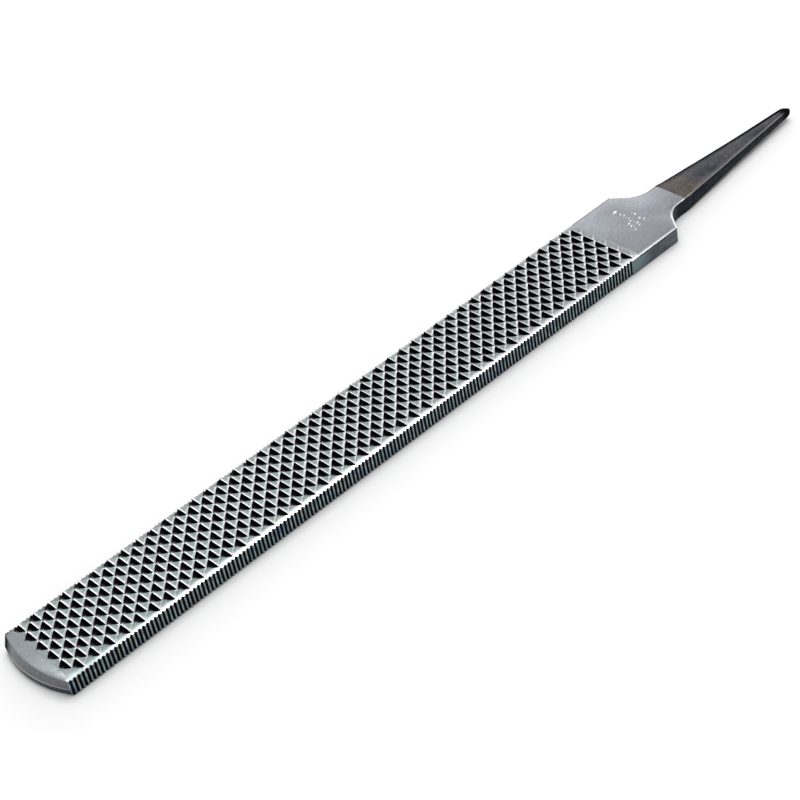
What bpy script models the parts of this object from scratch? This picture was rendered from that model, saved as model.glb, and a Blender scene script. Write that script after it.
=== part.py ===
"""Tanged flat rasp: a steel bar with a punched face, a file-cut underside, grooved edges and a tapered tang.

Metres, +Z up. The rasp lies flat on z = 0 with its punched face up. +Y runs from the point to the tang, and
+X to the right as seen from above with the tang away. The origin is the bottom centre of the bounding box.
"""

import math

import bmesh
import bpy
from mathutils import Matrix, Vector
from mathutils.geometry import delaunay_2d_cdt

MM = 0.001

# Driving dimensions
BODY_LENGTH = 350 * MM  # apex of the point to the shoulder corners
TANG_REACH = 106 * MM  # shoulder corners to the end of the tang
WIDTH = 41 * MM
THICKNESS = 8 * MM
SEAM = 0.3 * MM  # clearance between neighbouring zones of the bar

# Point: a convex end, ground by hand, with its upper part sloped back
POINT_LEVELS = (  # height, radius of the end, its apex left of the middle line, its apex back from the end
    (0, 48 * MM, 3.3 * MM, 0.2 * MM),
    (3 * MM, 48 * MM, 3.3 * MM, 0),
    (THICKNESS, 56 * MM, 1 * MM, 1.6 * MM),
)
POINT_CORNER = 0.8 * MM  # rounding between the end and the long edges
POINT_STEPS = 24
CORNER_STEPS = 4

# Layers of the cut length
RASP_LAYER = 2.0 * MM
FILE_LAYER = 1.5 * MM
EDGE_DEPTH = 2.5 * MM

# Rasp teeth: rows across the face, each row staggered by half a spacing
ROWS = 86
TEETH_PER_ROW = 5
ROW_PITCH = 3.65 * MM
HALF_SPACING = 3.756 * MM
FIRST_CREST = 11 * MM  # apex of the point to the crest of the first row
LATTICE_SHIFT = -0.9 * MM  # the rows sit a little towards the left edge
CREST_HALF = 3.35 * MM
CREST_FLAT = 0.75  # share of the crest that stands at full height
CREST_HEIGHT = 0.45 * MM
BACK_LENGTH = 2.9 * MM
PIT_LENGTH = 3.3 * MM
PIT_DEPTH = 1.1 * MM
PIT_FOOT = 0.45 * MM  # the deepest line lies this far in front of the crest
FOOT_SHARE = 0.55  # length of the deepest line as a share of the crest
TOOTH_MARGIN = 0.4 * MM  # least distance from a tooth to the long edges

# Edge grooves
GROOVE_PITCH = 1.94 * MM
GROOVE_DEPTH = 0.6 * MM

# Zones along the length, from the apex of the point
CUT_START = 7.6 * MM
LAST_CREST = FIRST_CREST + (ROWS - 1) * ROW_PITCH
CUT_END = LAST_CREST + 3.5 * MM

# Shoulders and tang
SHOULDER_REACH = 4.9 * MM  # length of each straight shoulder slope
SHOULDER_INNER = 14 * MM  # half width where the slope ends
TANG_ROOT = 19 * MM  # shoulder corners to the root of the tang
TANG_HALF = 8.95 * MM
FILLET_STEPS = 12
TANG_LEAN = -1.9 * MM  # sideways offset of the tang's end
TANG_CHAMFER = 0.14  # corner chamfer, as a share of the half thickness
TANG_SECTIONS = (  # distance from the root, half width, half thickness
    (0, TANG_HALF, THICKNESS / 2),
    (5 * MM, 8.95 * MM, 3.85 * MM),
    (29 * MM, 7.05 * MM, 3.05 * MM),
    (48 * MM, 5.4 * MM, 2.55 * MM),
    (84.5 * MM, 2.75 * MM, 2.1 * MM),
    (TANG_REACH - TANG_ROOT, 2.2 * MM, 1.5 * MM),
)

# Places along Y
Y_APEX = -(BODY_LENGTH + TANG_REACH) / 2
Y_CUT_START = Y_APEX + CUT_START
Y_CUT_END = Y_APEX + CUT_END
Y_SHOULDER = Y_APEX + BODY_LENGTH
Y_TANG_ROOT = Y_SHOULDER + TANG_ROOT


def clear_scene():
    for obj in list(bpy.data.objects):
        bpy.data.objects.remove(obj, do_unlink=True)


def steel(name, colour, roughness, metallic=1.0):
    material = bpy.data.materials.new(name)
    material.use_nodes = True
    shader = material.node_tree.nodes["Principled BSDF"]
    shader.inputs["Base Color"].default_value = (*colour, 1.0)
    shader.inputs["Roughness"].default_value = roughness
    shader.inputs["Metallic"].default_value = metallic
    return material


def add_frame(name):
    """A collection of that name, with one empty at the origin that carries the zones of the bar."""
    collection = bpy.data.collections.new(name)
    bpy.context.scene.collection.children.link(collection)
    frame = bpy.data.objects.new(name + "_frame", None)
    collection.objects.link(frame)
    return frame


def add_zone(name, build, origin, frame, material):
    """An object whose mesh is made by build(bm) in the rasp's own frame, with its object origin at origin."""
    mesh = bpy.data.meshes.new(name)
    bm = bmesh.new()
    build(bm)
    bmesh.ops.recalc_face_normals(bm, faces=bm.faces)
    bm.to_mesh(mesh)
    bm.free()
    mesh.transform(Matrix.Translation(-Vector(origin)))
    mesh.materials.append(material)
    zone = bpy.data.objects.new(name, mesh)
    frame.users_collection[0].objects.link(zone)
    zone.parent = frame
    zone.location = origin


def add_slab(name, outline, low, high, frame, material):
    """A flat outline in X and Y, extruded from z = low to z = high, with its origin on its front end."""
    rings = [[(x, y, z) for x, y in outline] for z in (low, high)]
    front = min(y for _, y in outline)
    add_zone(name, lambda bm: loft(bm, rings), (0, front, low), frame, material)


def rectangle(half, y_low, y_high):
    return [(-half, y_low), (half, y_low), (half, y_high), (-half, y_high)]


def loft(bm, rings):
    """Closed solid through rings of equal point counts, capped at both ends."""
    loops = [[bm.verts.new(point) for point in ring] for ring in rings]
    for lower, upper in zip(loops, loops[1:]):
        for i in range(len(lower)):
            j = (i + 1) % len(lower)
            bm.faces.new((lower[i], lower[j], upper[j], upper[i]))
    bm.faces.new(loops[0])
    bm.faces.new(loops[-1])


def arc(centre, radius, start, end, steps):
    """Points on a circle. Angles are from -Y, positive towards +X."""
    angles = [start + (end - start) * i / steps for i in range(steps + 1)]
    return [(centre[0] + radius * math.sin(a), centre[1] - radius * math.cos(a)) for a in angles]


def point_outline(radius, apex_left, apex_back):
    """Plan of the point: an arc with its apex left of the middle line, rounded into the long edges."""
    half = WIDTH / 2
    inset = half - POINT_CORNER
    inner = radius - POINT_CORNER
    centre = (-apex_left, Y_APEX + apex_back + radius)
    low, high = (math.asin((side * inset + apex_left) / inner) for side in (-1, 1))
    left = (-inset, centre[1] - inner * math.cos(low))
    right = (inset, centre[1] - inner * math.cos(high))
    back = Y_CUT_START - SEAM
    return (
        [(-half, back)]
        + arc(left, POINT_CORNER, -math.pi / 2, low, CORNER_STEPS)
        + arc(centre, radius, low, high, POINT_STEPS)[1:-1]
        + arc(right, POINT_CORNER, high, math.pi / 2, CORNER_STEPS)
        + [(half, back)]
    )


def build_point(bm):
    loft(bm, [[(x, y, level[0]) for x, y in point_outline(*level[1:])] for level in POINT_LEVELS])


def tooth_centres():
    """Crest centre (x, y) of every tooth. Even rows lean to the left edge and odd rows to the right."""
    middle = (2 * TEETH_PER_ROW - 1) / 2
    for row in range(ROWS):
        y = Y_APEX + FIRST_CREST + row * ROW_PITCH
        for tooth in range(TEETH_PER_ROW):
            column = 2 * tooth + row % 2
            yield LATTICE_SHIFT + (column - middle) * HALF_SPACING, y


def tooth_points(x, y):
    """Crest ends, crest shoulders, ends of the deepest line, front of the pit and end of the back."""
    limit = WIDTH / 2 - TOOTH_MARGIN
    left = max(x - CREST_HALF, -limit)
    right = min(x + CREST_HALF, limit)
    top = THICKNESS
    return {
        "left": (left, y, top),
        "right": (right, y, top),
        "crest_left": (x + (left - x) * CREST_FLAT, y, top + CREST_HEIGHT),
        "crest_right": (x + (right - x) * CREST_FLAT, y, top + CREST_HEIGHT),
        "foot_left": (x + (left - x) * FOOT_SHARE, y - PIT_FOOT, top - PIT_DEPTH),
        "foot_right": (x + (right - x) * FOOT_SHARE, y - PIT_FOOT, top - PIT_DEPTH),
        "pit_front": (x, y - PIT_LENGTH, top),
        "back_end": (x, y + BACK_LENGTH, top),
    }


TOOTH_EDGES = (
    ("left", "crest_left"), ("crest_left", "crest_right"), ("crest_right", "right"),
    ("left", "pit_front"), ("right", "pit_front"), ("left", "back_end"), ("right", "back_end"),
    ("crest_left", "back_end"), ("crest_right", "back_end"), ("foot_left", "foot_right"),
    ("left", "foot_left"), ("crest_left", "foot_left"), ("foot_left", "pit_front"),
    ("right", "foot_right"), ("crest_right", "foot_right"), ("foot_right", "pit_front"),
)  # fmt: skip


def build_rasp_face(bm):
    """A slab whose top skin is triangulated through every tooth's crest, pit and back."""
    corners = rectangle(WIDTH / 2, Y_CUT_START, Y_CUT_END)
    points = [(x, y, THICKNESS) for x, y in corners]
    edges = [(0, 1), (1, 2), (2, 3), (3, 0)]
    for centre in tooth_centres():
        tooth = tooth_points(*centre)
        index = {name: len(points) + i for i, name in enumerate(tooth)}
        points.extend(tooth.values())
        edges.extend((index[a], index[b]) for a, b in TOOTH_EDGES)
    plan = [Vector((x / MM, y / MM)) for x, y, _ in points]
    result = delaunay_2d_cdt(plan, edges, [], 0, 1e-6)
    triangles, sources = result[2], result[3]
    skin = [bm.verts.new(points[source[0]]) for source in sources]
    for triangle in triangles:
        bm.faces.new([skin[i] for i in triangle])
    place_of = {source: i for i, found in enumerate(sources) for source in found}
    rim = [skin[place_of[i]] for i in range(len(corners))]
    floor = [bm.verts.new((x, y, THICKNESS - RASP_LAYER)) for x, y in corners]
    for i in range(len(corners)):
        j = (i + 1) % len(corners)
        bm.faces.new((rim[i], floor[i], floor[j], rim[j]))
    bm.faces.new(floor)


def edge_outline(side):
    """Plan of one edge strip: straight inside, V grooves square to the length outside."""
    outer = WIDTH / 2
    inner = outer - EDGE_DEPTH
    grooves = int((LAST_CREST - CUT_START) / GROOVE_PITCH)
    outline = [(side * inner, Y_CUT_END), (side * inner, Y_CUT_START)]
    for i in range(grooves):
        y = Y_CUT_START + i * GROOVE_PITCH
        outline.append((side * outer, y))
        outline.append((side * (outer - GROOVE_DEPTH), y + GROOVE_PITCH / 2))
    outline.append((side * outer, Y_CUT_START + grooves * GROOVE_PITCH))
    outline.append((side * outer, Y_CUT_END))
    return outline


def shoulder(side):
    """One shoulder from its corner to the tang root: a straight slope, then a concave fillet."""
    y_slope = Y_SHOULDER + SHOULDER_REACH
    drop = SHOULDER_INNER - TANG_HALF
    slope = math.atan2(WIDTH / 2 - SHOULDER_INNER, SHOULDER_REACH)
    radius = drop / (1 - math.cos(slope))
    points = [(side * WIDTH / 2, Y_SHOULDER)]
    for i in range(FILLET_STEPS + 1):
        angle = slope * (1 - i / FILLET_STEPS)
        x = TANG_HALF + radius * (1 - math.cos(angle))
        y = y_slope + radius * (math.sin(slope) - math.sin(angle))
        points.append((side * x, y))
    return points


def heel_outline():
    half = WIDTH / 2
    front = Y_CUT_END + SEAM
    right = [(half, front)] + shoulder(1) + [(TANG_HALF, Y_TANG_ROOT)]
    return right + [(-x, y) for x, y in reversed(right)]


def tang_ring(distance, half_width, half_thickness):
    """Chamfered rectangle across the tang, centred on its leaning middle line."""
    length = TANG_REACH - TANG_ROOT
    middle = TANG_LEAN * distance / length
    y = Y_TANG_ROOT + SEAM + distance * (length - SEAM) / length
    cut = half_thickness * TANG_CHAMFER
    w, h = half_width, half_thickness
    section = [
        (w - cut, -h), (w, -h + cut), (w, h - cut), (w - cut, h),
        (cut - w, h), (-w, h - cut), (-w, cut - h), (cut - w, -h),
    ]  # fmt: skip
    return [(middle + x, y, THICKNESS / 2 + z) for x, z in section]


def build_tang(bm):
    loft(bm, [tang_ring(*section) for section in TANG_SECTIONS])


def main():
    clear_scene()
    frame = add_frame("wood_rasp")

    face_steel = steel("rasp_face_steel", (0.62, 0.64, 0.66), 0.32)
    file_steel = steel("file_face_steel", (0.55, 0.57, 0.60), 0.35)
    edge_steel = steel("edge_steel", (0.36, 0.40, 0.43), 0.38)
    core_steel = steel("core_steel", (0.50, 0.52, 0.55), 0.45)
    ground_steel = steel("ground_steel", (0.56, 0.58, 0.61), 0.36)
    tang_steel = steel("tang_steel", (0.13, 0.135, 0.15), 0.5, 0.9)

    half = WIDTH / 2
    z_core = FILE_LAYER + SEAM
    z_rasp = THICKNESS - RASP_LAYER
    core_plan = rectangle(half - EDGE_DEPTH - SEAM, Y_CUT_START, Y_CUT_END)
    file_plan = rectangle(half, Y_CUT_START, Y_CUT_END)

    add_zone("point", build_point, (0, Y_APEX, 0), frame, ground_steel)
    add_zone("rasp_face", build_rasp_face, (0, Y_CUT_START, z_rasp), frame, face_steel)
    add_slab("blade_core", core_plan, z_core, z_rasp - SEAM, frame, core_steel)
    add_slab("file_face", file_plan, 0, FILE_LAYER, frame, file_steel)
    add_slab("left_edge", edge_outline(-1), z_core, z_rasp - SEAM, frame, edge_steel)
    add_slab("right_edge", edge_outline(1), z_core, z_rasp - SEAM, frame, edge_steel)
    add_slab("heel", heel_outline(), 0, THICKNESS, frame, ground_steel)
    add_zone("tang", build_tang, (0, Y_TANG_ROOT, THICKNESS / 2), frame, tang_steel)


main()
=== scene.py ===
"""Looks of the tanged flat rasp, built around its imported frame.

Metres, +Z up. The rasp lies flat on z = 0 with its punched face up, and +Y runs from the point to the tang.
Shapes are worked out in millimetres and scaled when they become meshes.
"""

import math

import bmesh
import bpy
import numpy as np
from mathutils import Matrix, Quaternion, Vector
from mathutils.geometry import delaunay_2d_cdt


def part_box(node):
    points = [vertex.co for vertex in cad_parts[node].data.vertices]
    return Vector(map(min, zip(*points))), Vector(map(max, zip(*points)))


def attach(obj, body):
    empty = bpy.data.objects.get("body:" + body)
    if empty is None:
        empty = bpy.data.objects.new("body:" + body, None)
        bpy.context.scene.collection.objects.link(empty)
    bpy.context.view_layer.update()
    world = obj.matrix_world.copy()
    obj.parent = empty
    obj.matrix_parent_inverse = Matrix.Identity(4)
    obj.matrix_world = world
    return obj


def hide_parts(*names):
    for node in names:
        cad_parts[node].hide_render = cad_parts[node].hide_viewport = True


MM = 0.001

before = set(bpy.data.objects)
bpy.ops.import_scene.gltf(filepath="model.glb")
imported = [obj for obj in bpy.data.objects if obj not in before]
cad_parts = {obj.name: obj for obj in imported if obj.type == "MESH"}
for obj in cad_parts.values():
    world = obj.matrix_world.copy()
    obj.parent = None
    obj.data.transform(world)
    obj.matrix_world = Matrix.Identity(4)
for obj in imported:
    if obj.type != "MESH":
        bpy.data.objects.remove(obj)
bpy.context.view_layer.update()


def corner(node, end):
    """Lowest (end 0) or highest (end 1) corner of a CAD node, in mm."""
    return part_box(node)[end] / MM


# Places of the zones
HALF = corner("heel", 1).x
TOP = corner("heel", 1).z
Y_APEX = corner("point", 0).y
Y_CUT = (corner("point", 1).y + corner("rasp_face", 0).y) / 2
Y_HEEL = (corner("rasp_face", 1).y + corner("heel", 0).y) / 2
Y_ROOT = (corner("heel", 1).y + corner("tang", 0).y) / 2
Y_END = corner("tang", 1).y
Z_UPPER = (corner("right_edge", 1).z + corner("rasp_face", 0).z) / 2
Z_LOWER = (corner("file_face", 1).z + corner("right_edge", 0).z) / 2
EDGE_INNER = (corner("right_edge", 0).x + corner("blade_core", 1).x) / 2

# Rim: the top face falls away towards the long edges
RIM = ((0.0, 0.42), (0.8, 0.16), (1.7, 0.0))  # distance from the edge, drop
LOWER_RIM = ((0.0, 0.28), (0.6, 0.0))

# Edge grooves, square to the length
GROOVE_PITCH = 1.94
GROOVE_DEPTH = 0.6
# Share of the pitch, share of the depth
GROOVE_SHAPE = ((0.0, 0.0), (0.13, 0.0), (0.37, 0.9), (0.5, 1.0), (0.63, 0.9), (0.87, 0.0))
GROOVE_START = corner("rasp_face", 0).y
GROOVES = 161
GROOVE_END = GROOVE_START + (GROOVES - GROOVE_SHAPE[1][0]) * GROOVE_PITCH

UPRIGHT = 0.5  # faces whose normal rises less than this count as sides
UPWARD = 0.01  # and more than this as part of the skin
SLACK = 0.01  # places this far outside an outline still count as inside

# Rasp teeth
ROWS = 86
TEETH = 5
ROW_PITCH = 3.65
HALF_SPACING = 3.756
FIRST_CREST = Y_APEX + 11
LATTICE_SHIFT = -0.9
CREST_HALF = 3.35
CREST_HEIGHT = 0.45
BACK_LENGTH = 2.95
BACK_SLOPE = 1.15  # 1 is a flat back, more is a hollow one
FLANK = 9  # higher is a flatter back with steeper flanks
PIT_LENGTH = 3.5
PIT_BULGE = 1.35  # 1 is a straight-sided pit, more a fuller one
PIT_DEPTH = 1.15
ROLL = 0.12  # the crest rolls over this far before the front drops
ROLL_DROP = 0.05
FOOT = 0.45  # the front meets the floor of the pit this far from the crest
FLOOR_SIDES = 3  # higher is a flatter floor with steeper sides
FLOOR_SLOPE = 1.1  # 1 is a straight floor, more is a hollow one
STRAY = 0.05  # spread of each tooth's place
SPREAD = {"half": 0.015, "height": 0.08, "back": 0.02, "pit": 0.015, "depth": 0.05}  # shares of the sizes
NARROWEST = 0.05  # least half width that places across a tooth are measured by
SIDE_GAP, FRONT_GAP = 0.12, 0.05  # the lines of the teeth keep this far inside the outline
RIM_LINE_GAPS = (0.4, 0.3)  # and the lines of the rim this far from its front and rear
WORN_HIGHLIGHT = 0.36  # width of the bright strip behind the crest: worn steel with a painted highlight
# painted highlight on the burrs beside the pits
BURR_HIGHLIGHT = 0.4
STRIP = 0.55  # the plain strips between the teeth are narrower than this
WEAR_AND_HIGHLIGHT_BEHIND = ((0.0, 1.0), (WORN_HIGHLIGHT, 0.3), (1.0, 0.0))  # distance from the crest, wear and painted highlight
HIGHLIGHT_ACROSS = ((0.35, 0.0), (0.9, 0.24))  # place across a back, painted highlight up its right side
RIM_HIGHLIGHT = ((0.0, 0.0), (0.05, 0.0), (0.16, 0.2), (0.42, 0.5), (0.44, 0.0))  # drop, painted highlight
# the left rim gets a weaker painted highlight
RIM_HIGHLIGHT_LEFT = 0.3
RIM_HIGHLIGHT_REACH = 12  # only vertices this near the edge belong to the rim
# the painted highlight on the rims and the strip beside the teeth fades out towards the point
RIM_HIGHLIGHT_ALONG = ((Y_APEX, 0.0), (Y_APEX + 110, 1.0))
LAND_HIGHLIGHT = ((17.2, 0.0), (19.0, 0.28))  # x, painted highlight of the plain strip beside the teeth on the right
# strength along the rasp of the crests' wear and painted highlight, then of the burrs' painted highlight
CREST_WEAR_AND_HIGHLIGHT_ALONG = ((Y_APEX + 40, 1.0), (Y_APEX + 150, 0.5), (Y_APEX + 300, 0.35))
BURR_HIGHLIGHT_ALONG = ((Y_APEX + 10, 0.4), (Y_APEX + 130, 1.0))
WIDE = (-1, -0.9, -0.72, -0.4, 0, 0.4, 0.72, 0.9, 1)
NARROW = (-1, -0.82, -0.45, 0, 0.45, 0.82, 1)
TIP = (-1, -0.7, 0, 0.7, 1)
BACK_ROWS = ((0.0, WIDE), (WORN_HIGHLIGHT / BACK_LENGTH, WIDE), (0.34, WIDE), (0.58, NARROW), (0.8, TIP))
PIT_ROWS = ((ROLL / PIT_LENGTH, WIDE), (FOOT / PIT_LENGTH, WIDE), (0.36, NARROW), (0.6, NARROW), (0.82, TIP))

# Where a pit's floor is paler, with less painted shadow: share of its length, and place across it
PALE = 0.42
PALE_ALONG = ((0.5, 0.0), (0.76, 1.0), (0.9, 1.0), (1.0, 0.0))
PALE_ACROSS = ((-0.5, 0.0), (0.3, 1.0))

# File cuts of the underside: turn from square, pitch, depth
OVERCUT = (math.radians(40), 1.55, 0.34)
UPCUT = (math.radians(-22), 1.35, 0.26)
FILE_VALLEY = 0.3  # each valley lies this share of the pitch past a tip
FILE_SIDE_GAP, FILE_END_GAP = 0.25, 0.3
FILE_FADE = 0.4

# Point, heel and tang
# Height, radius of the end, distance of its centre left of the middle, distance set back
POINT_LEVELS = ((0.0, 48.0, 3.3, 0.2), (3.0, 48.0, 3.3, 0.0), (8.0, 56.0, 1.0, 1.6))
ROOT_REACH = 19.0  # shoulder corners to the root of the tang
ROOT_HALF = 8.95
SHOULDER_REACH = 4.9
SHOULDER_INNER = 14.0
FILLET_STEPS = 24
TIP_EDGE = 0.3  # width of the worn edge round the end face
TIP_STEP = 0.02  # least drop from the top to the next ring
# A line of the rim starts a gap behind the last outline point within reach of it and clear of the rear
TIP_LINE_GAP, TIP_LINE_REACH, TIP_LINE_REAR = 0.3, 1.2, 0.9
TIP_ROUND = ((0, 1.6), (TOP, 0.5))  # height, radius of the corners
POINT_HEIGHTS = (TOP - 0.22, 6.2, 4.6, 3.15, 2.85, 1.2, 0.28, 0.0)
# Stamped dents on the heel: x and distance from the cut of the first of a row, how many
MARK_ROWS = ((-7.6, 17.6, 8), (-4.0, 21.6, 5), (0.5, 14.0, 4))
# One larger dent: x, distance from the cut, half length, half width
MARK_SPOT = (-10.2, 17.8, 0.9, 1.7)
MARK_SLOPE = -0.06
MARK_HALF = (0.5, 0.95)  # least and greatest half length
MARK_GAP = 0.5
MARK_WIDTH = 1.2
MARK_STRAY = 0.6
MARK_FLAT = 0.5  # share of a dent that is flat at the bottom
MARK_DEPTH = 0.2
MARK_LEAST = 0.05  # vertices this far below the top belong to a dent
MARK_TURNS = np.linspace(0, 2 * math.pi, 13)
MARK_HIGHLIGHT = ((-9.0, 0.36), (-7.5, 0.2))  # place across the heel, painted highlight on the dents
TANG_LEAN = -1.9
TANG_RINGS = 60
TANG_WOBBLE = 0.035
TANG_WOBBLE_START = 8  # the faces turn uneven over this length from the root
# Half sections of the tang, as insets (in, down) from its box, lower corner first
ROOT_SECTION = ((0.6, 0.0), (0.0, 0.28), (0.0, 0.30), (0.75, 0.03), (1.7, 0.0))
RIGHT_SECTION = ((0.7, 0.0), (0.0, 0.6), (0.0, 0.55), (0.18, 0.2), (0.6, 0.0))
LEFT_BEVEL = (1.5, 1.1)  # at the root, and how much more at the end
ROOT_SHARE = 0.08  # share of the length in which the root's section gives way
TANG_STATIONS = (  # distance from the root, half width, half thickness
    (0, 8.95, 4.0), (5, 8.95, 3.85), (17, 8.0, 3.45), (29, 7.05, 3.05), (38, 6.2, 2.8), (48, 5.4, 2.55),
    (60, 4.5, 2.4), (72, 3.65, 2.25), (84.5, 2.75, 2.1), (86, 2.55, 1.85), (87, 2.15, 1.5),
)

rng = np.random.default_rng(14)


# ---------------- shapes


def ramp(distance, steps):
    """Piecewise linear value at a distance, from (distance, value) steps."""
    return np.interp(distance, [s[0] for s in steps], [s[1] for s in steps])


def groove_depth(y):
    """Depth of the edge grooves at y."""
    phase = (np.asarray(y, float) - GROOVE_START) / GROOVE_PITCH
    inside = (phase > -1) & (phase < GROOVES)
    shape = ramp(phase % 1.0, GROOVE_SHAPE + ((1.0, 0.0),))
    return np.where(inside, shape * GROOVE_DEPTH, 0.0)


def groove_places(first, last):
    """Every y between first and last where the groove outline turns."""
    places = [
        GROOVE_START + (i + share) * GROOVE_PITCH
        for i in range(-1, GROOVES)
        for share, _ in GROOVE_SHAPE
    ]
    places.append(GROOVE_START + GROOVES * GROOVE_PITCH)
    return [y for y in places if first + SLACK < y < last - SLACK]


class Teeth:
    """The staggered rows of punched teeth, each with its own small errors."""

    def __init__(self):
        shape = (ROWS, TEETH)
        row, tooth = np.indices(shape)
        column = 2 * tooth + row % 2
        middle = (2 * TEETH - 1) / 2

        def around(size):
            return 1 + SPREAD[size] * np.clip(rng.standard_normal(shape), -2, 2)

        self.x = LATTICE_SHIFT + (column - middle) * HALF_SPACING + STRAY * rng.standard_normal(shape)
        self.y = FIRST_CREST + row * ROW_PITCH + STRAY * rng.standard_normal(shape)
        self.half = CREST_HALF * around("half")
        self.height = CREST_HEIGHT * around("height")
        self.back = BACK_LENGTH * around("back")
        self.pit = PIT_LENGTH * around("pit")
        self.depth = PIT_DEPTH * around("depth")

    def nearby(self, x, y):
        """For each point, yields the nearby teeth as (valid, index, u across, v along)."""
        base = np.round((y - FIRST_CREST) / ROW_PITCH).astype(int)
        for row_step in (-1, 0, 1):
            row = np.clip(base + row_step, 0, ROWS - 1)
            column = (x - LATTICE_SHIFT) / HALF_SPACING + (2 * TEETH - 1) / 2
            near = np.round((column - row % 2) / 2).astype(int)
            for step in (-1, 0, 1):
                tooth = np.clip(near + step, 0, TEETH - 1)
                valid = (row == base + row_step) & (tooth == near + step)
                at = (row, tooth)
                yield valid, at, x - self.x[at], y - self.y[at]

    def outline_at(self, at, v):
        """Share of the way to the tip of a back (v > 0) or a pit (v < 0), and the half width there."""
        share = np.where(v >= 0, v / self.back[at], -v / self.pit[at])
        bent = np.clip(share, 0, None) ** np.where(v >= 0, 1.0, PIT_BULGE)
        return share, self.half[at] * (1 - bent)

    def height_at(self, x, y):
        """Height of the skin over the flat top: crests above it, pits below it."""
        total = np.zeros_like(x)
        for valid, at, u, v in self.nearby(x, y):
            pit = self.pit[at]
            share, width = self.outline_at(at, v)
            across = np.abs(u) / np.maximum(width, 1e-6)
            inside = valid & (share < 1) & (across < 1) & (width > 1e-6)
            share, across = np.clip(share, 0, 1), np.clip(across, 0, 1)
            crest = self.height[at] * (1 - across**FLANK)
            rise = crest * (1 - share) ** BACK_SLOPE
            floor = self.depth[at] * (1 - across**FLOOR_SIDES)
            roll = crest - ROLL_DROP * np.clip(-v / ROLL, 0, 1)
            fall = np.clip((-v - ROLL) / (FOOT - ROLL), 0, 1)
            front = np.where(-v < ROLL, roll, (1 - fall) * (crest - ROLL_DROP) - fall * floor)
            slope = -floor * np.clip((pit + v) / (pit - FOOT), 0, 1) ** FLOOR_SLOPE
            down = np.where(-v < FOOT, front, slope)
            total += np.where(inside, np.where(v >= 0, rise, down), 0.0)
        return total

    def scale_and_shade_at(self, x, y):
        """How black a pit is painted, as scale and painted shadow: fully on its front and left, less up the
        right of its floor.
        """
        scale_and_shade = np.zeros_like(x)
        for valid, at, u, v in self.nearby(x, y):
            share, width = self.outline_at(at, np.minimum(v, -1e-9))
            inside = valid & (v < SLACK) & (share < 1 + SLACK) & (np.abs(u) < width + 2 * SLACK)
            sideways = np.clip(u / np.maximum(width, NARROWEST), -1, 1)
            pale = ramp(share, PALE_ALONG) * ramp(sideways, PALE_ACROSS)
            scale_and_shade = np.where(inside, np.maximum(scale_and_shade, 1 - PALE * pale), scale_and_shade)
        return scale_and_shade

    def in_pit(self, x, y):
        """True where a point lies between a crest and the tip of its pit."""
        found = np.zeros(x.shape, bool)
        for valid, at, u, v in self.nearby(x, y):
            found |= valid & (v < 0) & (np.abs(u) < self.outline_at(at, v)[1])
        return found

    def wear_and_highlight_at(self, x, y):
        """How bright the steel is painted: 1 on a crest, worn and with a painted highlight, less as painted
        highlights up the right of a back and on the burr beside it.
        """
        wear_and_highlight = np.zeros_like(x)
        for valid, at, u, v in self.nearby(x, y):
            share, width = self.outline_at(at, v)
            near = ramp(np.abs(v), WEAR_AND_HIGHLIGHT_BEHIND) * ramp(y, CREST_WEAR_AND_HIGHLIGHT_ALONG)
            wear_and_highlight = np.maximum(wear_and_highlight, np.where(valid & (np.abs(u) < self.half[at] + SLACK), near, 0))
            across = ramp(u / np.maximum(width, NARROWEST), HIGHLIGHT_ACROSS)
            back = valid & (v >= 0) & (share < 1) & (np.abs(u) < width + SLACK)
            wear_and_highlight = np.maximum(wear_and_highlight, np.where(back, across, 0))
            side = np.where(v >= 0, u, -u) - width
            burr = valid & (share < 1 + SLACK) & (np.abs(side) < 3 * SLACK)
            strength = BURR_HIGHLIGHT * ramp(y, BURR_HIGHLIGHT_ALONG) * np.where(v >= 0, 1, 1 - share)
            wear_and_highlight = np.maximum(wear_and_highlight, np.where(burr, strength, 0))
        return wear_and_highlight

    def near_teeth(self, x, y):
        """True inside the teeth and on the narrow strips between them."""
        found = np.zeros(x.shape, bool)
        for valid, at, u, v in self.nearby(x, y):
            found |= valid & (np.abs(u) - self.outline_at(at, v)[1] < STRIP)
        return found

    def lines(self):
        """Polylines that follow the shape of every tooth: rows across it and its outline."""
        for row in range(ROWS):
            for tooth in range(TEETH):
                at = (row, tooth)
                x, y, half = self.x[at], self.y[at], self.half[at]
                left, right = [], []
                for length, rows in ((-self.pit[at], PIT_ROWS), (self.back[at], BACK_ROWS)):
                    low, high = [], []
                    for share, places in rows:
                        width = half * (1 - share ** (PIT_BULGE if length < 0 else 1.0))
                        line = [(x + width * s, y + length * share) for s in places]
                        yield line
                        low.append(line[0])
                        high.append(line[-1])
                    tip = (x, y + length)
                    if length < 0:
                        left += [tip] + low[::-1]
                        right += [tip] + high[::-1]
                    else:
                        left += low + [tip]
                        right += high + [tip]
                yield left
                yield right


def in_outline(x, y):
    """True where a point lies in the cut length, a little way in from its grooved edges and its front."""
    return abs(x) < HALF - groove_depth(y) - SIDE_GAP and y > Y_CUT + FRONT_GAP


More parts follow.
